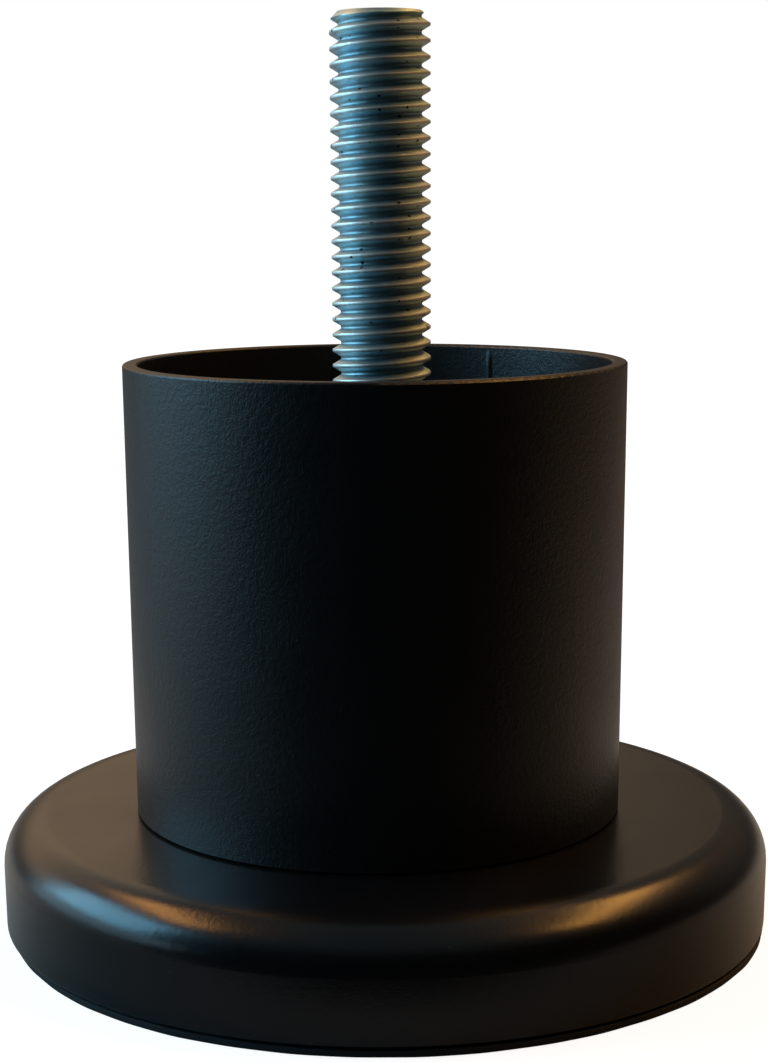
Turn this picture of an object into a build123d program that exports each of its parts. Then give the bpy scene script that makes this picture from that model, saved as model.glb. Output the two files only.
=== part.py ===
from build123d import *
import math
import os

os.makedirs("parts", exist_ok=True)

# Steel furniture leg, in millimetres. +Z is up. The origin is on the floor, on the bolt's axis.
# A round tube is welded on a pressed dish, a bolt stands up through both, and a rubber pad fills the dish.

# Driving dimensions
foot_diameter = 79.0       # outside of the dish's skirt
dish_height = 11.0         # from the skirt's lower edge to the top of the dish
sheet = 1.5                # steel sheet of the dish
shoulder = 4.6             # outside radius where the top turns down into the skirt
tube_diameter = 50.0
tube_wall = 1.5
tube_length = 45.5
tube_offset = 0.7          # the tube is welded on a little to one side of the bolt, along -X
pad_flange = 1.0           # rubber that shows under the skirt
bolt_diameter = 10.0       # M10
thread_pitch = 1.5
bolt_length = 80.0         # under the head

# Bolt, nut and washer details
bolt_hole = 11.0           # clearance hole for M10
bolt_chamfer = 0.9
pitch_line = 0.6495        # a metric thread's pitch diameter is this many pitches under its outside diameter
head_height = 6.4
hexagon_flats = 17.0       # across flats, on the head and on the nut
hexagon_face = 16.4        # flat circle left inside the corner chamfers
nut_height = 8.0
washer_diameter = 20.0
washer_hole = 10.5
washer_thickness = 2.0

# Weld, pad and edge details
weld_leg = 3.0
weld_hollow = 6.0          # radius of the weld's hollow face
pad_fit = 0.15             # gap between the pad's plug and the dish
pad_floor = 2.4            # rubber left under the pocket for the bolt's head
head_pocket = 23.0
edge_break = 0.25          # deburred steel edges and the pad's moulded edges

# Radii and levels worked out from them
foot_radius = foot_diameter / 2
tube_radius = tube_diameter / 2
tube_bore = tube_radius - tube_wall
bolt_radius = bolt_diameter / 2
pitch_radius = (bolt_diameter - pitch_line * thread_pitch) / 2
inner_shoulder = shoulder - sheet
hexagon_corner = hexagon_flats / 2 / math.cos(math.radians(30))
corner_drop = (hexagon_corner - hexagon_face / 2) * math.tan(math.radians(30))
plate_top = pad_flange + dish_height
plate_bottom = plate_top - sheet
head_bottom = plate_bottom - head_height
nut_bottom = plate_top + washer_thickness
nut_top = nut_bottom + nut_height
rim = plate_top + tube_length
bolt_top = plate_bottom + bolt_length

# Foot: a round dish pressed from one sheet, open below, with a hole for the bolt
with BuildPart() as foot:
    with BuildSketch(Plane.XZ):
        with BuildLine():
            bend = (foot_radius - shoulder, plate_top - shoulder)
            Line((bolt_hole / 2, plate_top), (bend[0], plate_top))
            CenterArc(bend, shoulder, 90, -90)
            Line((foot_radius, bend[1]), (foot_radius, pad_flange))
            Line((foot_radius, pad_flange), (foot_radius - sheet, pad_flange))
            Line((foot_radius - sheet, pad_flange), (foot_radius - sheet, bend[1]))
            CenterArc(bend, inner_shoulder, 0, 90)
            Line((bend[0], plate_bottom), (bolt_hole / 2, plate_bottom))
            Line((bolt_hole / 2, plate_bottom), (bolt_hole / 2, plate_top))
        make_face()
    revolve(axis=Axis.Z)
    fillet(foot.edges().group_by(Axis.Z)[0], radius=edge_break)

# Tube: sawn square at both ends, standing on the dish
with BuildPart() as tube:
    with BuildSketch(Plane((-tube_offset, 0, plate_top))):
        Circle(tube_radius)
        Circle(tube_bore, mode=Mode.SUBTRACT)
    extrude(amount=tube_length)
    lower_ring = tube.edges().group_by(Axis.Z)[0].sort_by(SortBy.RADIUS)
    upper_ring = tube.edges().group_by(Axis.Z)[-1].sort_by(SortBy.RADIUS)
    chamfer(lower_ring[-1], length=edge_break)
    fillet([upper_ring[0], upper_ring[-1]], radius=edge_break)

# Weld: a hollow fillet run round the inside corner, face to face with the tube and the dish
with BuildPart() as weld:
    with BuildSketch(Plane.XZ.shift_origin((-tube_offset, 0, 0))):
        with BuildLine():
            corner = (tube_bore, plate_top)
            up_the_tube = (tube_bore, plate_top + weld_leg)
            along_the_dish = (tube_bore - weld_leg, plate_top)
            Line(corner, up_the_tube)
            RadiusArc(up_the_tube, along_the_dish, weld_hollow)
            Line(along_the_dish, corner)
        make_face()
    revolve(axis=Axis((-tube_offset, 0, 0), (0, 0, 1)))

# Bolt: hexagon head under the dish's top, and a fully threaded shank up through the tube.
# The fine thread belongs to the finished model, so its free length is plain here, at the outside diameter.
# Up to the nut's top the shank has the pitch diameter. A bolt with a rolled thread measures that under its
# head, and it is where the bolt's thread and the nut's meet.
with BuildPart() as bolt:
    with BuildSketch(Plane.XY.offset(head_bottom)):
        RegularPolygon(hexagon_flats / 2, 6, major_radius=False)
    extrude(amount=head_height)
    with BuildSketch(Plane.XZ):
        with BuildLine():
            Polyline(
                (0, head_bottom),
                (hexagon_face / 2, head_bottom),
                (hexagon_corner, head_bottom + corner_drop),
                (hexagon_corner, plate_bottom),
                (0, plate_bottom),
                close=True,
            )
        make_face()
    revolve(axis=Axis.Z, mode=Mode.INTERSECT)
    with BuildSketch(Plane.XY.offset(plate_bottom)):
        Circle(pitch_radius)
    extrude(amount=nut_top - plate_bottom)
    with BuildSketch(Plane.XY.offset(nut_top)):
        Circle(bolt_radius)
    extrude(amount=bolt_top - nut_top)
    chamfer(bolt.edges().group_by(Axis.Z)[-1], length=bolt_chamfer)

# Washer: on the dish, under the nut
with BuildPart() as washer:
    with BuildSketch(Plane.XY.offset(plate_top)):
        Circle(washer_diameter / 2)
        Circle(washer_hole / 2, mode=Mode.SUBTRACT)
    extrude(amount=washer_thickness)
    fillet(washer.edges().group_by(Axis.Z)[-1].sort_by(SortBy.RADIUS)[-1], radius=edge_break)

# Nut: clamps the bolt to the dish, with its corners chamfered on both faces
with BuildPart() as nut:
    with BuildSketch(Plane.XY.offset(nut_bottom)):
        RegularPolygon(hexagon_flats / 2, 6, major_radius=False)
        Circle(pitch_radius, mode=Mode.SUBTRACT)
    extrude(amount=nut_height)
    with BuildSketch(Plane.XZ):
        with BuildLine():
            Polyline(
                (0, nut_bottom),
                (hexagon_face / 2, nut_bottom),
                (hexagon_corner, nut_bottom + corner_drop),
                (hexagon_corner, nut_top - corner_drop),
                (hexagon_face / 2, nut_top),
                (0, nut_top),
                close=True,
            )
        make_face()
    revolve(axis=Axis.Z, mode=Mode.INTERSECT)

# Pad: a moulded rubber plug that fills the dish, with a thin flange under the skirt
with BuildPart() as pad:
    with BuildSketch(Plane.XZ):
        with BuildLine():
            plug_radius = foot_radius - sheet - pad_fit
            plug_top = plate_bottom - pad_fit
            plug_bend = (plug_radius - inner_shoulder, plug_top - inner_shoulder)
            Polyline((0, 0), (foot_radius, 0), (foot_radius, pad_flange), (plug_radius, pad_flange))
            Line((plug_radius, pad_flange), (plug_radius, plug_bend[1]))
            CenterArc(plug_bend, inner_shoulder, 0, 90)
            Polyline(
                (plug_bend[0], plug_top),
                (head_pocket / 2, plug_top),
                (head_pocket / 2, pad_floor),
                (0, pad_floor),
                (0, 0),
            )
        make_face()
    revolve(axis=Axis.Z)
    flange_rings = pad.edges().filter_by(GeomType.CIRCLE).group_by(SortBy.RADIUS)[-1]
    fillet(flange_rings, radius=edge_break)

foot.part.label = "foot"
tube.part.label = "tube"
weld.part.label = "weld"
bolt.part.label = "bolt"
washer.part.label = "washer"
nut.part.label = "nut"
pad.part.label = "pad"

export_step(foot.part, "parts/foot.step")
export_step(tube.part, "parts/tube.step")
export_step(weld.part, "parts/weld.step")
export_step(bolt.part, "parts/bolt.step")
export_step(washer.part, "parts/washer.step")
export_step(nut.part, "parts/nut.step")
export_step(pad.part, "parts/pad.step")

print("rim", rim, "bolt top", bolt_top, "free length", bolt_top - rim)
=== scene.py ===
import bpy
import bmesh
import math
from mathutils import Matrix, Vector


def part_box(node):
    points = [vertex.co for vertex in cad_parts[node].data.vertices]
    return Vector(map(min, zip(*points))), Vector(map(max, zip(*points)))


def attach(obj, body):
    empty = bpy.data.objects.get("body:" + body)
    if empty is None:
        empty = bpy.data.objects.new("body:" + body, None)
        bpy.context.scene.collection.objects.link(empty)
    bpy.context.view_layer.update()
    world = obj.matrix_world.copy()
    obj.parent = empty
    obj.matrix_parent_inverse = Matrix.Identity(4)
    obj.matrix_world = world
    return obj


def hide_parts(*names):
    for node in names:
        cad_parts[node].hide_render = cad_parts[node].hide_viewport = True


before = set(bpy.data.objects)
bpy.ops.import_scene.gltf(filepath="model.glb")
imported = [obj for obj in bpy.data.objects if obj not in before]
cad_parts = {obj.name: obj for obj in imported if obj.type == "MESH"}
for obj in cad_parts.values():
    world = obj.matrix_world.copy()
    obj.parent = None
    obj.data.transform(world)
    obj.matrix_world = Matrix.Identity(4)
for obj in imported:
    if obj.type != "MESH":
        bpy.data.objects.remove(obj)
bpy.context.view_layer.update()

mm = 0.001
sheetGap = 0.002 * mm      # a rolled sheet's edges join within this
shellGap = 0.004 * mm      # and a shell's pieces within this

# levels and places, all read from the frame
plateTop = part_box("foot")[1].z
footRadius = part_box("foot")[1].x
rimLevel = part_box("tube")[1].z
tubeCentre = (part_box("tube")[0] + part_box("tube")[1]) / 2
tubeBore = (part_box("weld")[1].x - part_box("weld")[0].x) / 2
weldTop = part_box("weld")[1].z
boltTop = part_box("bolt")[1].z
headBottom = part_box("bolt")[0].z
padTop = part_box("pad")[1].z


# ---- shader helpers

def addNode(tree, kind, values=None, **settings):
    node = tree.nodes.new(kind)
    for key, value in settings.items():
        setattr(node, key, value)
    for key, value in (values or {}).items():
        node.inputs[key].default_value = value
    return node


def groupSocket(tree, name, direction, kind="NodeSocketFloat", value=None):
    socket = tree.interface.new_socket(name=name, in_out=direction, socket_type=kind)
    if value is not None:
        socket.default_value = value
    return socket


driftSpan = (0.3, 0.7)       # the part of the slow drift that changes a finish
speckChance = 0.8            # cells above this carry a speck


def makeGrainGroup():
    # two sizes of grain, a slow drift and sparse specks, shared by every finish
    tree = bpy.data.node_groups.new("surfaceGrain", "ShaderNodeTree")
    groupSocket(tree, "Vector", "INPUT", "NodeSocketVector")
    groupSocket(tree, "Fine Scale", "INPUT", value=2600.0)
    groupSocket(tree, "Coarse Scale", "INPUT", value=600.0)
    groupSocket(tree, "Drift Scale", "INPUT", value=60.0)
    groupSocket(tree, "Speck Scale", "INPUT", value=500.0)
    groupSocket(tree, "Speck Size", "INPUT", value=0.12)
    groupSocket(tree, "Height", "OUTPUT")
    groupSocket(tree, "Drift", "OUTPUT")
    groupSocket(tree, "Specks", "OUTPUT")
    link = tree.links.new
    entry = addNode(tree, "NodeGroupInput")
    leave = addNode(tree, "NodeGroupOutput")
    fine = addNode(tree, "ShaderNodeTexNoise", {"Detail": 2.0, "Roughness": 0.6})
    coarse = addNode(tree, "ShaderNodeTexNoise", {"Detail": 1.0, "Roughness": 0.5})
    drift = addNode(tree, "ShaderNodeTexNoise", {"Detail": 3.0, "Roughness": 0.6})
    cells = addNode(tree, "ShaderNodeTexVoronoi", {"Randomness": 1.0})
    for texture, scale in ((fine, "Fine Scale"), (coarse, "Coarse Scale"), (drift, "Drift Scale"),
                           (cells, "Speck Scale")):
        link(entry.outputs["Vector"], texture.inputs["Vector"])
        link(entry.outputs[scale], texture.inputs["Scale"])
    both = addNode(tree, "ShaderNodeMath", operation="ADD")
    link(fine.outputs["Fac"], both.inputs[0])
    link(coarse.outputs["Fac"], both.inputs[1])
    link(both.outputs[0], leave.inputs["Height"])
    link(drift.outputs["Fac"], leave.inputs["Drift"])
    near = addNode(tree, "ShaderNodeMath", operation="LESS_THAN")
    link(cells.outputs["Distance"], near.inputs[0])
    link(entry.outputs["Speck Size"], near.inputs[1])
    chosen = addNode(tree, "ShaderNodeMath", {1: speckChance}, operation="GREATER_THAN")
    split = addNode(tree, "ShaderNodeSeparateColor")
    link(cells.outputs["Color"], split.inputs[0])
    link(split.outputs[0], chosen.inputs[0])
    sparse = addNode(tree, "ShaderNodeMath", operation="MULTIPLY")
    link(near.outputs[0], sparse.inputs[0])
    link(chosen.outputs[0], sparse.inputs[1])
    link(sparse.outputs[0], leave.inputs["Specks"])
    return tree


def startMaterial(name, grain):
    material = bpy.data.materials.new(name)
    material.use_nodes = True
    tree = material.node_tree
    surface = tree.nodes["Principled BSDF"]
    place = addNode(tree, "ShaderNodeTexCoord")
    group = addNode(tree, "ShaderNodeGroup")
    group.node_tree = grainGroup
    for key, value in grain.items():
        group.inputs[key].default_value = value
    tree.links.new(place.outputs["Object"], group.inputs["Vector"])
    return material, tree, surface, place, group


def mixColours(tree, mask, first, second):
    mixer = addNode(tree, "ShaderNodeMix", data_type="RGBA")
    inA, inB = [s for s in mixer.inputs if s.type == "RGBA"]
    for socket, value in ((inA, first), (inB, second)):
        if isinstance(value, bpy.types.NodeSocket):
            tree.links.new(value, socket)
        else:
            socket.default_value = (*value, 1)
    tree.links.new(mask, mixer.inputs[0])
    return [s for s in mixer.outputs if s.type == "RGBA"][0]


def mapRange(tree, value, fromLow, fromHigh, low, high):
    node = addNode(tree, "ShaderNodeMapRange", {1: fromLow, 2: fromHigh, 3: low, 4: high})
    tree.links.new(value, node.inputs[0])
    return node.outputs[0]


def addBump(tree, surface, height, distance):
    bump = addNode(tree, "ShaderNodeBump", {"Strength": 1.0, "Distance": distance})
    tree.links.new(height, bump.inputs["Height"])
    tree.links.new(bump.outputs[0], surface.inputs["Normal"])


coat = {
    "dark": (0.0030, 0.0032, 0.0040),
    "light": (0.0045, 0.0047, 0.0055),
    "speck": (0.05, 0.05, 0.048),
    "tubeRough": (0.37, 0.44),    # the tube's coat is a little duller and more grainy than the dish's
    "footRough": (0.22, 0.28),
    "tubeBump": 0.036 * mm,
    "footBump": 0.010 * mm,
    "grain": {"Fine Scale": 5200.0, "Coarse Scale": 1900.0, "Drift Scale": 70.0,
              "Speck Scale": 520.0, "Speck Size": 0.05},
}


def makeCoat(name, rough, bumpDepth):
    # satin black powder coat: fine orange peel, faint drift in gloss, a few dust specks
    material, tree, surface, place, grain = startMaterial(name, coat["grain"])
    body = mixColours(tree, grain.outputs["Drift"], coat["dark"], coat["light"])
    dusty = mixColours(tree, grain.outputs["Specks"], body, coat["speck"])
    tree.links.new(dusty, surface.inputs["Base Color"])
    gloss = mapRange(tree, grain.outputs["Drift"], *driftSpan, *rough)
    tree.links.new(gloss, surface.inputs["Roughness"])
    addBump(tree, surface, grain.outputs["Height"], bumpDepth)
    return material


zinc = {
    "cool": (0.38, 0.56, 0.62),
    "pale": (0.54, 0.66, 0.68),
    # colour of the dark specks, and the colour the thread darkens to towards its roots
    "speckAndRootDark": (0.035, 0.034, 0.030),
    # the paler colour the thread takes towards its crests
    "crestPale": (0.80, 0.79, 0.73),
    "rough": (0.46, 0.58),
    "tintSpan": (0.35, 0.65),     # of the slow drift
    "crestPaleDepth": 0.08 * mm,        # the paler colour reaches this far down from the crests
    "crestPaleShare": 0.8,
    "rootDarkReach": 0.35 * mm,      # the darker colour reaches this far up from the root
    "rootDarkShare": 0.25,
    "markStretch": (1.0, 1.0, 0.22),
    "markScale": 3200.0,
    "bumpDepth": 0.016 * mm,
    "grain": {"Fine Scale": 2600.0, "Coarse Scale": 700.0, "Drift Scale": 260.0,
              "Speck Scale": 1100.0, "Speck Size": 0.20},
}


def makeZinc(name, crest=None, root=None):
    # blue-passivated zinc: patches of tint, dark specks, the thread darker towards its roots and paler
    # towards its crests
    material, tree, surface, place, grain = startMaterial(name, zinc["grain"])
    tint = mapRange(tree, grain.outputs["Drift"], *zinc["tintSpan"], 0.0, 1.0)
    body = mixColours(tree, tint, zinc["cool"], zinc["pale"])
    if crest:
        flat = addNode(tree, "ShaderNodeVectorMath", {1: (1, 1, 0)}, operation="MULTIPLY")
        tree.links.new(place.outputs["Object"], flat.inputs[0])
        radius = addNode(tree, "ShaderNodeVectorMath", operation="LENGTH")
        tree.links.new(flat.outputs[0], radius.inputs[0])
        # the thread is made paler towards its crests, fading down the flanks
        crestPaleMask = mapRange(tree, radius.outputs["Value"], crest - zinc["crestPaleDepth"], crest,
                          0.0, zinc["crestPaleShare"])
        body = mixColours(tree, crestPaleMask, body, zinc["crestPale"])
        # the thread is made darker towards its roots, fading up the flanks
        rootDarkMask = mapRange(tree, radius.outputs["Value"], root, root + zinc["rootDarkReach"],
                        zinc["rootDarkShare"], 0.0)
        body = mixColours(tree, rootDarkMask, body, zinc["speckAndRootDark"])
    spotted = mixColours(tree, grain.outputs["Specks"], body, zinc["speckAndRootDark"])
    tree.links.new(spotted, surface.inputs["Base Color"])
    gloss = mapRange(tree, grain.outputs["Drift"], *driftSpan, *zinc["rough"])
    tree.links.new(gloss, surface.inputs["Roughness"])
    surface.inputs["Metallic"].default_value = 1.0
    height = grain.outputs["Height"]
    if crest:
        # rolling leaves fine marks that run up and down the crests
        drawn = addNode(tree, "ShaderNodeVectorMath", {1: zinc["markStretch"]}, operation="MULTIPLY")
        tree.links.new(place.outputs["Object"], drawn.inputs[0])
        marks = addNode(tree, "ShaderNodeTexNoise", {"Scale": zinc["markScale"], "Detail": 2.0})
        tree.links.new(drawn.outputs[0], marks.inputs["Vector"])
        both = addNode(tree, "ShaderNodeMath", operation="ADD")
        tree.links.new(height, both.inputs[0])
        tree.links.new(marks.outputs["Fac"], both.inputs[1])
        height = both.outputs[0]
    addBump(tree, surface, height, zinc["bumpDepth"])
    return material


rubber = {
    "dark": (0.004, 0.005, 0.007),
    "light": (0.008, 0.009, 0.011),
    "dust": (0.03, 0.03, 0.03),
    "rough": (0.62, 0.78),
    "bumpDepth": 0.03 * mm,
    "grain": {"Fine Scale": 2200.0, "Coarse Scale": 500.0, "Drift Scale": 110.0,
              "Speck Scale": 380.0, "Speck Size": 0.08},
}


def makeRubber(name):
    # matt moulded rubber with a little dust
    material, tree, surface, place, grain = startMaterial(name, rubber["grain"])
    body = mixColours(tree, grain.outputs["Drift"], rubber["dark"], rubber["light"])
    dusty = mixColours(tree, grain.outputs["Specks"], body, rubber["dust"])
    tree.links.new(dusty, surface.inputs["Base Color"])
    gloss = mapRange(tree, grain.outputs["Drift"], *driftSpan, *rubber["rough"])
    tree.links.new(gloss, surface.inputs["Roughness"])
    addBump(tree, surface, grain.outputs["Height"], rubber["bumpDepth"])
    return material


# ---- mesh helpers

def finishPiece(piece, material, slot, *nodes):
    piece.data.materials.clear()
    piece.data.materials.append(material)
    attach(piece, "root")
    if nodes:
        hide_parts(*nodes)
    print("made", piece.name, len(piece.data.polygons), "faces")
    return piece


def smoothByAngle(mesh, degrees):
    mesh.polygons.foreach_set("use_smooth", [True] * len(mesh.polygons))
    mesh.set_sharp_from_angle(angle=math.radians(degrees))


def addRings(mesh, rings, columns, centre=(0.0, 0.0)):
    # rings is a list of functions of the angle that give a radius and a height; a zero radius is a pole
    rows = []
    for ring in rings:
        first = ring(0.0)
        if first[0] == 0:
            rows.append([mesh.verts.new((centre[0], centre[1], first[1]))])
            continue
        row = []
        for step in range(columns):
            angle = 2 * math.pi * step / columns
            radius, height = ring(angle)
            row.append(mesh.verts.new((centre[0] + radius * math.cos(angle),
                                       centre[1] + radius * math.sin(angle), height)))
        rows.append(row)
    for lower, upper in zip(rows, rows[1:]):
        for step in range(columns):
            after = (step + 1) % columns
            if len(lower) == 1:
                corners = (lower[0], upper[after], upper[step])
            elif len(upper) == 1:
                corners = (lower[step], lower[after], upper[0])
            else:
                corners = (lower[step], lower[after], upper[after], upper[step])
            mesh.faces.new(corners)


def ringAt(radius, height):
    return lambda angle: (radius, height)


def linkMesh(name, mesh):
    mesh.name = name
    piece = bpy.data.objects.new(name, mesh)
    bpy.context.scene.collection.objects.link(piece)
    return piece


# ---- geometry nodes helpers

class NodePlan:
    # short forms for building a geometry node tree
    def __init__(self, name):
        self.tree = bpy.data.node_groups.new(name, "GeometryNodeTree")
        self.sockets = {}
        self.tree.interface.new_socket(name="Geometry", in_out="INPUT", socket_type="NodeSocketGeometry")
        self.entry = self.tree.nodes.new("NodeGroupInput")
        self.leave = self.tree.nodes.new("NodeGroupOutput")

    def number(self, name, value, kind="NodeSocketFloat"):
        socket = self.tree.interface.new_socket(name=name, in_out="INPUT", socket_type=kind)
        socket.default_value = value
        self.sockets[name] = socket.identifier
        return self.entry.outputs[name]

    def node(self, kind, *feeds, **settings):
        made = self.tree.nodes.new(kind)
        for key, value in settings.items():
            setattr(made, key, value)
        for place, feed in enumerate(feeds):
            self.feed(made.inputs[place], feed)
        return made

    def feed(self, socket, value):
        if isinstance(value, bpy.types.NodeSocket):
            self.tree.links.new(value, socket)
        elif value is not None:
            socket.default_value = value

    def calc(self, operation, *feeds):
        return self.node("ShaderNodeMath", *feeds, operation=operation).outputs[0]

    def bake(self, name, result, material, values):
        # ends the tree, runs it on an empty mesh and keeps the result as a plain mesh
        self.tree.interface.new_socket(name="Geometry", in_out="OUTPUT", socket_type="NodeSocketGeometry")
        real = self.node("GeometryNodeRealizeInstances", result)
        painted = self.node("GeometryNodeSetMaterial", real.outputs[0])
        painted.inputs["Material"].default_value = material
        self.tree.links.new(painted.outputs[0], self.leave.inputs[0])
        carrier = linkMesh(name + "Carrier", bpy.data.meshes.new(name + "Carrier"))
        modifier = carrier.modifiers.new(name, "NODES")
        modifier.node_group = self.tree
        for key, value in values.items():
            modifier[self.sockets[key]] = value
        bpy.context.view_layer.update()
        graph = bpy.context.evaluated_depsgraph_get()
        mesh = bpy.data.meshes.new_from_object(carrier.evaluated_get(graph))
        carrier.modifiers.remove(modifier)
        bpy.data.objects.remove(carrier)
        return mesh


# ---- bolt

bolt = {
    "pitch": 1.5 * mm,
    "crest": 4.88 * mm,
    "root": 4.10 * mm,
    "pointRadius": 4.08 * mm,     # of the chamfered end, just under the root
    "crestShare": 0.10,           # half width of the crest and of what lies above the root, in pitches
    "rootShare": 0.40,
    "crestRound": 0.03 * mm,
    "rootRound": 0.05 * mm,
    "rowsPerTurn": 20,
    "columns": 60,
    "flats": 17.0 * mm,
    "face": 16.4 * mm,
    "headHeight": 6.4 * mm,
    "neck": 0.8 * mm,             # plain length under the head
    "neckRound": (0.4 * mm, 0.3 * mm),    # its fillet, outwards and upwards
    "edgeBreak": 0.05 * mm,
    "innerFace": 0.93,            # shares of the head's face and of the end, where a ring is added
    "innerEnd": 0.55,
    "dimple": (0.02 * mm, 0.05 * mm),     # depth of the end's hollow at that ring and in the middle
}


def makeThread(material):
    # a grid is rolled round the axis and every row climbs one pitch a turn, so edges follow the helix
    plan = NodePlan("rolledThread")
    pitch = plan.number("Pitch", bolt["pitch"])
    crest = plan.number("Crest Radius", bolt["crest"])
    root = plan.number("Root Radius", bolt["root"])
    point = plan.number("Point Radius", bolt["pointRadius"])
    low = plan.number("Lower End", 0.0)
    top = plan.number("Upper End", 0.05)
    columns = plan.number("Columns", bolt["columns"], "NodeSocketInt")
    rows = plan.number("Rows Per Turn", bolt["rowsPerTurn"], "NodeSocketInt")
    length = plan.calc("SUBTRACT", top, low)
    turns = plan.calc("CEIL", plan.calc("DIVIDE", length, pitch))
    spanTurns = plan.calc("ADD", turns, 2.0)
    rowCount = plan.calc("MULTIPLY", spanTurns, rows)
    across = plan.calc("ADD", columns, 1.0)
    along = plan.calc("ADD", rowCount, 1.0)
    sheet = plan.node("GeometryNodeMeshGrid", 1.0, 1.0, across, along)
    spot = plan.node("GeometryNodeInputPosition")
    parts = plan.node("ShaderNodeSeparateXYZ", spot.outputs[0])
    turn = plan.calc("ADD", parts.outputs[0], 0.5)           # 0 to 1 round the bolt
    climb = plan.calc("MULTIPLY", plan.calc("ADD", parts.outputs[1], 0.5), spanTurns)
    level = plan.calc("SUBTRACT", plan.calc("ADD", climb, turn), 1.0)
    height = plan.calc("ADD", plan.calc("MULTIPLY", level, pitch), low)
    height = plan.calc("MINIMUM", plan.calc("MAXIMUM", height, low), top)
    wave = plan.calc("ABSOLUTE", plan.calc("SUBTRACT", plan.calc("FRACT", plan.calc("ADD", climb, 0.5)), 0.5))
    flank = plan.node("ShaderNodeMapRange", wave, bolt["crestShare"], bolt["rootShare"], crest, root)
    rounding = plan.node("ShaderNodeMapRange", wave, bolt["crestShare"] / 2, bolt["crestShare"],
                         0.0, bolt["crestRound"])
    hollow = plan.node("ShaderNodeMapRange", wave, bolt["rootShare"], 0.5, 0.0, bolt["rootRound"])
    thread = plan.calc("SUBTRACT", plan.calc("SUBTRACT", flank.outputs[0], rounding.outputs[0]),
                      hollow.outputs[0])
    upperCone = plan.calc("ADD", plan.calc("SUBTRACT", top, height), point)
    lowerCone = plan.calc("ADD", plan.calc("SUBTRACT", height, low), point)
    radius = plan.calc("MINIMUM", plan.calc("MINIMUM", thread, upperCone), lowerCone)
    # anything pressed flat on an end is drawn in to the end's own ring
    angle = plan.calc("MULTIPLY", turn, 2 * math.pi)
    x = plan.calc("MULTIPLY", radius, plan.calc("COSINE", angle))
    y = plan.calc("MULTIPLY", radius, plan.calc("SINE", angle))
    place = plan.node("ShaderNodeCombineXYZ", x, y, height)
    rolled = plan.node("GeometryNodeSetPosition", sheet.outputs[0], True, place.outputs[0])
    closed = plan.node("GeometryNodeMergeByDistance", rolled.outputs[0], True)
    closed.inputs["Distance"].default_value = sheetGap
    headTop = headBottom + bolt["headHeight"]
    return plan.bake("rolledThread", closed.outputs[0], material,
                     {"Lower End": headTop + bolt["neck"], "Upper End": boltTop})


def hexagonRadius(angle, flats):
    # distance to the nearest flat; corners fall on the X axis, as on the CAD head
    turn = (angle + math.pi / 6) % (math.pi / 3) - math.pi / 6
    side = math.pi / 6 - abs(turn)
    return flats / 2 / math.cos(side)


def makeBolt(material):
    threadMesh = makeThread(material)
    mesh = bmesh.new()
    mesh.from_mesh(threadMesh)
    bpy.data.meshes.remove(threadMesh)
    headTop = headBottom + bolt["headHeight"]
    point = bolt["pointRadius"]
    slope = math.tan(math.radians(30))

    def underChamfer(angle):
        corner = hexagonRadius(angle, bolt["flats"])
        return corner, headBottom + max(0.0, corner - bolt["face"] / 2) * slope

    addRings(mesh, [
        ringAt(0, headBottom),
        ringAt(bolt["face"] / 2 * bolt["innerFace"], headBottom),
        ringAt(bolt["face"] / 2, headBottom),
        underChamfer,
        lambda angle: (hexagonRadius(angle, bolt["flats"]), headTop - bolt["edgeBreak"]),
        lambda angle: (hexagonRadius(angle, bolt["flats"]) - bolt["edgeBreak"], headTop),
        ringAt(point + bolt["neckRound"][0], headTop),
        ringAt(point, headTop + bolt["neckRound"][1]),
        ringAt(point, headTop + bolt["neck"]),
    ], bolt["columns"])
    addRings(mesh, [
        ringAt(point, boltTop),
        ringAt(point * bolt["innerEnd"], boltTop - bolt["dimple"][0]),
        ringAt(0, boltTop - bolt["dimple"][1]),
    ], bolt["columns"])
    bmesh.ops.remove_doubles(mesh, verts=mesh.verts, dist=shellGap)
    bmesh.ops.dissolve_degenerate(mesh, edges=mesh.edges, dist=sheetGap / 2)
    bmesh.ops.recalc_face_normals(mesh, faces=mesh.faces)
    data = bpy.data.meshes.new("threadedBolt")
    mesh.to_mesh(data)
    print("bolt open edges", sum(1 for edge in mesh.edges if not edge.is_manifold))
    mesh.free()
    smoothByAngle(data, 32)
    return finishPiece(linkMesh("threadedBolt", data), material, "zinc", "bolt")


# ---- weld

weld = {
    "leg": weldTop - plateTop,
    "ripples": 92,
    "rippleDepth": 0.16 * mm,
    "lag": 0.55,                 # how far a ripple's middle trails its ends, in ripples
    "wander": 0.5 * mm,          # slow swelling of the bead
    "wanderScale": 9.0,
    "sink": 0.25 * mm,           # hollow of its face
    "columns": 736,
    "rows": 8,
}


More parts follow.
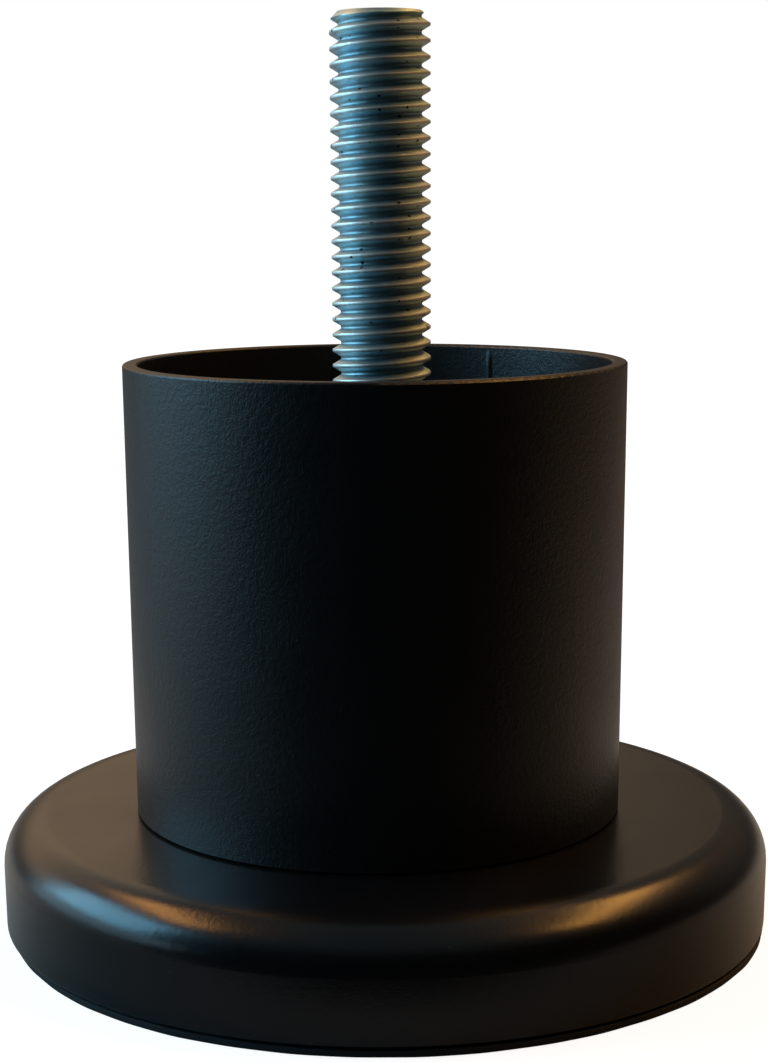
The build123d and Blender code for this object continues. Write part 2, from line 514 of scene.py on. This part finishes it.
def makeWeld(material):
    # a hollow bead with overlapping ripples round the tube's inside corner
    plan = NodePlan("weldBead")
    bore = plan.number("Bore Radius", 0.02)
    leg = plan.number("Leg", weld["leg"])
    depth = plan.number("Ripple Depth", weld["rippleDepth"])
    ripples = plan.number("Ripples", float(weld["ripples"]))
    level = plan.number("Level", 0.0)
    across = plan.number("Centre X", 0.0)
    sheet = plan.node("GeometryNodeMeshGrid", 1.0, 1.0, weld["columns"] + 1, weld["rows"] + 1)
    spot = plan.node("GeometryNodeInputPosition")
    parts = plan.node("ShaderNodeSeparateXYZ", spot.outputs[0])
    turn = plan.calc("ADD", parts.outputs[0], 0.5)
    climb = plan.calc("ADD", parts.outputs[1], 0.5)           # 0 on the dish, 1 on the tube
    bow = plan.calc("MULTIPLY", plan.calc("MULTIPLY", climb, plan.calc("SUBTRACT", 1.0, climb)), 4.0)
    phase = plan.calc("FRACT", plan.calc("ADD", plan.calc("MULTIPLY", turn, ripples),
                                       plan.calc("MULTIPLY", bow, weld["lag"])))
    scale = plan.calc("MULTIPLY", plan.calc("POWER", phase, 2.0), depth)
    noise = plan.node("ShaderNodeTexNoise")
    noise.noise_dimensions = "3D"
    angle = plan.calc("MULTIPLY", turn, 2 * math.pi)
    circle = plan.node("ShaderNodeCombineXYZ", plan.calc("COSINE", angle), plan.calc("SINE", angle), climb)
    plan.feed(noise.inputs["Vector"], circle.outputs[0])
    noise.inputs["Scale"].default_value = weld["wanderScale"]
    wander = plan.calc("MULTIPLY", plan.calc("SUBTRACT", noise.outputs[0], 0.5), weld["wander"])
    swell = plan.calc("MULTIPLY", plan.calc("ADD", scale, plan.calc("ADD", wander, -weld["sink"])), bow)
    inward = plan.calc("ADD", plan.calc("MULTIPLY", plan.calc("SUBTRACT", 1.0, climb), leg), swell)
    upward = plan.calc("ADD", plan.calc("MULTIPLY", climb, leg), swell)
    radius = plan.calc("SUBTRACT", bore, inward)
    x = plan.calc("ADD", plan.calc("MULTIPLY", radius, plan.calc("COSINE", angle)), across)
    y = plan.calc("MULTIPLY", radius, plan.calc("SINE", angle))
    place = plan.node("ShaderNodeCombineXYZ", x, y, plan.calc("ADD", upward, level))
    bead = plan.node("GeometryNodeSetPosition", sheet.outputs[0], True, place.outputs[0])
    closed = plan.node("GeometryNodeMergeByDistance", bead.outputs[0], True)
    closed.inputs["Distance"].default_value = sheetGap
    data = plan.bake("weldBead", closed.outputs[0], material,
                     {"Bore Radius": tubeBore, "Level": plateTop, "Centre X": tubeCentre.x})
    mesh = bmesh.new()
    mesh.from_mesh(data)
    addRings(mesh, [
        ringAt(tubeBore - weld["leg"], plateTop),
        ringAt(tubeBore, plateTop),
        ringAt(tubeBore, plateTop + weld["leg"]),
    ], weld["columns"], (tubeCentre.x, 0.0))
    bmesh.ops.remove_doubles(mesh, verts=mesh.verts, dist=shellGap)
    bmesh.ops.recalc_face_normals(mesh, faces=mesh.faces)
    print("weld open edges", sum(1 for edge in mesh.edges if not edge.is_manifold))
    mesh.to_mesh(data)
    mesh.free()
    smoothByAngle(data, 50)
    return finishPiece(linkMesh("weldBead", data), material, "black_coat", "weld")


# ---- pad

pad = {
    "columns": 288,
    "plugGap": 1.65 * mm,        # skirt's wall and the fit round the plug
    "plugRound": 3.1 * mm,
    "plugSteps": 6,
    "underRing": 20.0 * mm,
    "pocketRadius": 11.5 * mm,
    "pocketFloor": 2.4 * mm,
    "edge": 0.22 * mm,
    "flange": 1.0 * mm,
    "groove": 0.34 * mm,         # open line left between the flange and the skirt
    "grooveDepth": 0.9 * mm,
    "trim": 0.09 * mm,
    "shortSide": math.radians(196),
    "shortBy": 0.5 * mm,
}


def makePad(material):
    # moulded plug with a hand-trimmed flange, so the outline wavers by a few tenths
    def trim(angle):
        wander = 0.45 * math.sin(3 * angle + 0.6) + 0.3 * math.sin(7 * angle + 2.1)
        nick = 0.3 * math.sin(19 * angle + 0.4) + 0.2 * math.sin(43 * angle)
        short = max(0.0, math.cos(angle - pad["shortSide"])) ** 6 * pad["shortBy"]
        return footRadius - pad["trim"] * (1 + wander + nick) - short

    def flangeRing(inset, height):
        return lambda angle: (trim(angle) - inset, height)

    plug = footRadius - pad["plugGap"]
    bend = (plug - pad["plugRound"], padTop - pad["plugRound"])
    mesh = bmesh.new()
    bendRings = []
    for step in range(pad["plugSteps"] + 1):
        turn = math.pi / 2 * step / pad["plugSteps"]
        bendRings.append(ringAt(bend[0] + pad["plugRound"] * math.cos(turn),
                                bend[1] + pad["plugRound"] * math.sin(turn)))
    addRings(mesh, [
        ringAt(0, 0),
        ringAt(pad["underRing"], 0),
        flangeRing(pad["edge"], 0),
        flangeRing(pad["edge"] * 0.3, pad["edge"] * 0.3),
        flangeRing(0, pad["edge"]),
        flangeRing(0, pad["flange"] - pad["groove"]),
        flangeRing(pad["edge"] * 0.6, pad["flange"] - pad["groove"] * 0.8),
        flangeRing(pad["grooveDepth"], pad["flange"] - pad["groove"] * 0.6),
        flangeRing(pad["grooveDepth"] + pad["edge"], pad["flange"]),
        ringAt(plug, pad["flange"]),
        *bendRings,
        ringAt(pad["pocketRadius"], padTop),
        ringAt(pad["pocketRadius"], pad["pocketFloor"]),
        ringAt(0, pad["pocketFloor"]),
    ], pad["columns"])
    bmesh.ops.recalc_face_normals(mesh, faces=mesh.faces)
    data = bpy.data.meshes.new("rubberPad")
    mesh.to_mesh(data)
    mesh.free()
    smoothByAngle(data, 40)
    return finishPiece(linkMesh("rubberPad", data), material, "rubber", "pad")


# ---- tube's own seam

seam = {
    "angle": math.radians(58),    # from +X towards the back
    "width": 1.1 * mm,
    "height": 0.22 * mm,
    "sink": 0.03 * mm,            # its foot stands in the wall by this much
    "overWeld": 0.2 * mm,
    "underRim": 0.3 * mm,
    "rows": 60,
    "columns": 9,
}


def makeSeam(material):
    # the flattened weld line that runs down the inside of a welded tube
    low, high = weldTop + seam["overWeld"], rimLevel - seam["underRim"]
    mesh = bmesh.new()
    rows = []
    for step in range(seam["rows"] + 1):
        height = low + (high - low) * step / seam["rows"]
        sway = 0.0012 * math.sin(height * 420) + 0.0007 * math.sin(height * 1130)
        row = []
        for column in range(seam["columns"]):
            across = column / (seam["columns"] - 1) * 2 - 1
            angle = seam["angle"] + across * seam["width"] / 2 / tubeBore + sway * 0.3
            rise = seam["height"] * (math.cos(across * math.pi) + 1) / 2
            taper = min(1.0, step / 2, (seam["rows"] - step) / 2)
            radius = tubeBore + seam["sink"] - rise * taper
            row.append(mesh.verts.new((tubeCentre.x + radius * math.cos(angle),
                                       radius * math.sin(angle), height)))
        rows.append(row)
    for lower, upper in zip(rows, rows[1:]):
        for column in range(seam["columns"] - 1):
            mesh.faces.new((lower[column], upper[column], upper[column + 1], lower[column + 1]))
        mesh.faces.new((lower[-1], upper[-1], upper[0], lower[0]))
    mesh.faces.new(rows[0])
    mesh.faces.new(list(reversed(rows[-1])))
    bmesh.ops.recalc_face_normals(mesh, faces=mesh.faces)
    data = bpy.data.meshes.new("tubeSeam")
    mesh.to_mesh(data)
    mesh.free()
    smoothByAngle(data, 60)
    return finishPiece(linkMesh("tubeSeam", data), material, "black_coat")


# ---- floor, light and camera

studio = {
    "floorColour": (0.38, 0.38, 0.38),
    "floorBox": ((-0.75, -0.053), (0.75, 1.3)),    # a table top that ends a little in front of the leg
    "floorRough": 0.9,
    "nearGlow": 0.90,             # white added to the floor's own shade, beside the leg and far from it
    "farGlow": 1.0,
    "fade": (0.12, 0.5),
    "poolGlow": 0.30,             # light on the table top as the leg's own shine sees it
    "poolEdge": 0.04,
    "poolFade": (0.06, 0.20),
    "poolSide": (-0.03, 0.02),    # from the shaded front to the lit back
    "poolColour": (1.0, 0.84, 0.68),
    "white": 1.0,                 # strength of the backdrop as the camera sees it
    "whiteInGloss": 0.05,         # share of the backdrop that shines back from metal
    "roomLevel": 0.012,
    "roomColour": (0.75, 0.92, 1.0),
    "topLevel": 0.16,
    "topColour": (0.62, 0.90, 1.0),
    "leftLevel": 1.0,
    "rightLevel": 0.10,
    "wallColour": (1.0, 0.67, 0.40),
    "sideSpan": (-0.22, 0.22),    # where the air changes, as parts of a unit direction
    "wallSpan": (0.0, 0.6),
    "skirtingSpan": (0.12, 0.3),
    "ceilingSpan": (0.45, 0.8),
    "skirtingShare": 0.12,        # how bright the wall is at the floor's level, against its upper part
}

# place, aim, width and height, radiance, colour, and whether it lights matt surfaces
# a wide cool window and its sill on the left, and a warm strip on each side, behind and above
lamps = {
    "windowLeft": ((-0.53, 0.03, 0.27), (0, 0, 0.01), (0.44, 0.26), 6.6, (0.28, 0.70, 1.0), True),
    "windowSill": ((-0.53, 0.0, 0.07), (0, 0, 0.05), (0.60, 0.12), 1.5, (0.50, 0.80, 1.0), True),
    "warmLampLeft": ((-0.52, 0.13, 0.72), (0, 0, 0.01), (0.62, 0.10), 12.0, (1.0, 0.46, 0.12), False),
    "warmLampRight": ((0.52, 0.16, 0.72), (0, 0, 0.01), (0.84, 0.10), 14.0, (1.0, 0.46, 0.10), True),
}


def whiteMask(tree, inGloss):
    # how much of the white backdrop is seen: all by the camera, a share by what shines or lets light through
    path = addNode(tree, "ShaderNodeLightPath")
    bent = addNode(tree, "ShaderNodeMath", operation="MAXIMUM")
    tree.links.new(path.outputs["Is Glossy Ray"], bent.inputs[0])
    tree.links.new(path.outputs["Is Transmission Ray"], bent.inputs[1])
    both = addNode(tree, "ShaderNodeMath", {1: inGloss}, operation="MULTIPLY_ADD")
    tree.links.new(bent.outputs[0], both.inputs[0])
    tree.links.new(path.outputs["Is Camera Ray"], both.inputs[2])
    return both.outputs[0]


def makeFloor():
    low, high = studio["floorBox"]
    mesh = bmesh.new()
    corners = [mesh.verts.new((x, y, 0)) for x, y in (low, (high[0], low[1]), high, (low[0], high[1]))]
    mesh.faces.new(corners)
    data = bpy.data.meshes.new("floor")
    mesh.to_mesh(data)
    mesh.free()
    floor = linkMesh("floor", data)
    material = bpy.data.materials.new("paleFloor")
    material.use_nodes = True
    tree = material.node_tree
    surface = tree.nodes["Principled BSDF"]
    surface.inputs["Base Color"].default_value = (*studio["floorColour"], 1)
    surface.inputs["Roughness"].default_value = studio["floorRough"]
    surface.inputs["Specular IOR Level"].default_value = 0.0
    place = addNode(tree, "ShaderNodeTexCoord")
    away = addNode(tree, "ShaderNodeVectorMath", operation="LENGTH")
    tree.links.new(place.outputs["Object"], away.inputs[0])
    glow = mapRange(tree, away.outputs["Value"], *studio["fade"], studio["nearGlow"], studio["farGlow"])
    # what shines sees only a warm pool of light behind the leg, which fades with distance
    pool = mapRange(tree, away.outputs["Value"], *studio["poolFade"], studio["poolGlow"], studio["poolEdge"])
    parts = addNode(tree, "ShaderNodeSeparateXYZ")
    tree.links.new(place.outputs["Object"], parts.inputs[0])
    behind = addNode(tree, "ShaderNodeMath", operation="MULTIPLY")
    tree.links.new(pool, behind.inputs[0])
    tree.links.new(mapRange(tree, parts.outputs[1], *studio["poolSide"], 0.0, 1.0), behind.inputs[1])
    path = addNode(tree, "ShaderNodeLightPath")
    shown = addNode(tree, "ShaderNodeMix", data_type="FLOAT")
    tree.links.new(path.outputs["Is Camera Ray"], shown.inputs[0])
    tree.links.new(behind.outputs[0], shown.inputs[2])
    tree.links.new(glow, shown.inputs[3])
    seen = addNode(tree, "ShaderNodeMath", operation="MULTIPLY")
    tree.links.new(shown.outputs[0], seen.inputs[0])
    tree.links.new(whiteMask(tree, 1.0), seen.inputs[1])
    light = addNode(tree, "ShaderNodeEmission")
    tree.links.new(mixColours(tree, path.outputs["Is Camera Ray"], studio["poolColour"], (1, 1, 1)),
                   light.inputs["Color"])
    tree.links.new(seen.outputs[0], light.inputs["Strength"])
    both = addNode(tree, "ShaderNodeAddShader")
    tree.links.new(surface.outputs[0], both.inputs[0])
    tree.links.new(light.outputs[0], both.inputs[1])
    tree.links.new(both.outputs[0], tree.nodes["Material Output"].inputs["Surface"])
    data.materials.append(material)


def makeWorld():
    # a dark room in front, a cool ceiling, and a warm wall behind that is brighter on the left
    world = bpy.data.worlds.new("studioAir")
    bpy.context.scene.world = world
    world.use_nodes = True
    tree = world.node_tree
    back = tree.nodes["Background"]
    way = addNode(tree, "ShaderNodeTexCoord")
    parts = addNode(tree, "ShaderNodeSeparateXYZ")
    tree.links.new(way.outputs["Generated"], parts.inputs[0])
    side = mapRange(tree, parts.outputs[0], *studio["sideSpan"], studio["leftLevel"], studio["rightLevel"])
    low = mapRange(tree, parts.outputs[2], *studio["skirtingSpan"], studio["skirtingShare"], 1.0)
    wall = addNode(tree, "ShaderNodeMath", operation="MULTIPLY")
    tree.links.new(side, wall.inputs[0])
    tree.links.new(low, wall.inputs[1])
    behind = mapRange(tree, parts.outputs[1], *studio["wallSpan"], 0.0, 1.0)
    above = mapRange(tree, parts.outputs[2], *studio["ceilingSpan"], 0.0, 1.0)
    level = addNode(tree, "ShaderNodeMix", {2: studio["roomLevel"]}, data_type="FLOAT")
    tree.links.new(behind, level.inputs[0])
    tree.links.new(wall.outputs[0], level.inputs[3])
    whole = addNode(tree, "ShaderNodeMix", {3: studio["topLevel"]}, data_type="FLOAT")
    tree.links.new(above, whole.inputs[0])
    tree.links.new(level.outputs[0], whole.inputs[2])
    walls = mixColours(tree, behind, studio["roomColour"], studio["wallColour"])
    tree.links.new(mixColours(tree, above, walls, studio["topColour"]), back.inputs["Color"])
    tree.links.new(whole.outputs[0], back.inputs["Strength"])
    white = addNode(tree, "ShaderNodeBackground", {"Color": (1, 1, 1, 1), "Strength": studio["white"]})
    share = addNode(tree, "ShaderNodeMath", operation="MULTIPLY")
    path = addNode(tree, "ShaderNodeLightPath")
    lit = addNode(tree, "ShaderNodeMath", operation="MAXIMUM")
    tree.links.new(path.outputs["Is Camera Ray"], lit.inputs[0])
    tree.links.new(behind, lit.inputs[1])
    tree.links.new(whiteMask(tree, studio["whiteInGloss"]), share.inputs[0])
    tree.links.new(lit.outputs[0], share.inputs[1])
    blend = addNode(tree, "ShaderNodeMixShader")
    tree.links.new(share.outputs[0], blend.inputs[0])
    tree.links.new(back.outputs[0], blend.inputs[1])
    tree.links.new(white.outputs[0], blend.inputs[2])
    tree.links.new(blend.outputs[0], tree.nodes["World Output"].inputs["Surface"])


def makeLights():
    for name, (place, aim, size, radiance, colour, lightsMatt) in lamps.items():
        data = bpy.data.lights.new(name, "AREA")
        data.shape = "RECTANGLE"
        data.size, data.size_y = size
        data.energy = radiance * math.pi * size[0] * size[1]
        data.color = colour
        lamp = bpy.data.objects.new(name, data)
        bpy.context.scene.collection.objects.link(lamp)
        lamp.visible_diffuse = lightsMatt
        lamp.location = place
        lamp.rotation_euler = (Vector(aim) - Vector(place)).to_track_quat("-Z", "Y").to_euler()


camera = {
    "place": (-0.0007, -0.20644, 0.07319),
    "pitch": 14.01,
    "roll": -0.41,
    "lens": 69.56,
    "shift": (0.0063, 0.1685),
    "sensor": 36.0,
    "clip": (0.01, 20.0),
}


def makeCamera():
    data = bpy.data.cameras.new("view")
    data.sensor_width = camera["sensor"]
    data.lens = camera["lens"]
    data.shift_x, data.shift_y = camera["shift"]
    data.clip_start, data.clip_end = camera["clip"]
    holder = bpy.data.objects.new("view", data)
    bpy.context.scene.collection.objects.link(holder)
    tilt = Matrix.Rotation(math.radians(90 - camera["pitch"]), 4, "X")
    twist = Matrix.Rotation(math.radians(camera["roll"]), 4, "Z")
    holder.matrix_world = Matrix.Translation(camera["place"]) @ tilt @ twist
    bpy.context.scene.camera = holder


# ---- everything in order

bpy.context.scene.view_settings.view_transform = "Standard"
makeCamera()
makeWorld()
makeLights()
makeFloor()
print("stage ready")

grainGroup = makeGrainGroup()
tubeCoat = makeCoat("tubePowderCoat", coat["tubeRough"], coat["tubeBump"])
footCoat = makeCoat("footPowderCoat", coat["footRough"], coat["footBump"])
threadZinc = makeZinc("threadZinc", bolt["crest"], bolt["root"])
plainZinc = makeZinc("plainZinc")
padRubber = makeRubber("padRubber")
print("materials ready")

for name, material in (("tube", tubeCoat), ("foot", footCoat), ("nut", plainZinc), ("washer", plainZinc)):
    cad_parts[name].data.materials.clear()
    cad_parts[name].data.materials.append(material)

makeBolt(threadZinc)
makeWeld(tubeCoat)
makePad(padRubber)
makeSeam(tubeCoat)
print("pieces ready")
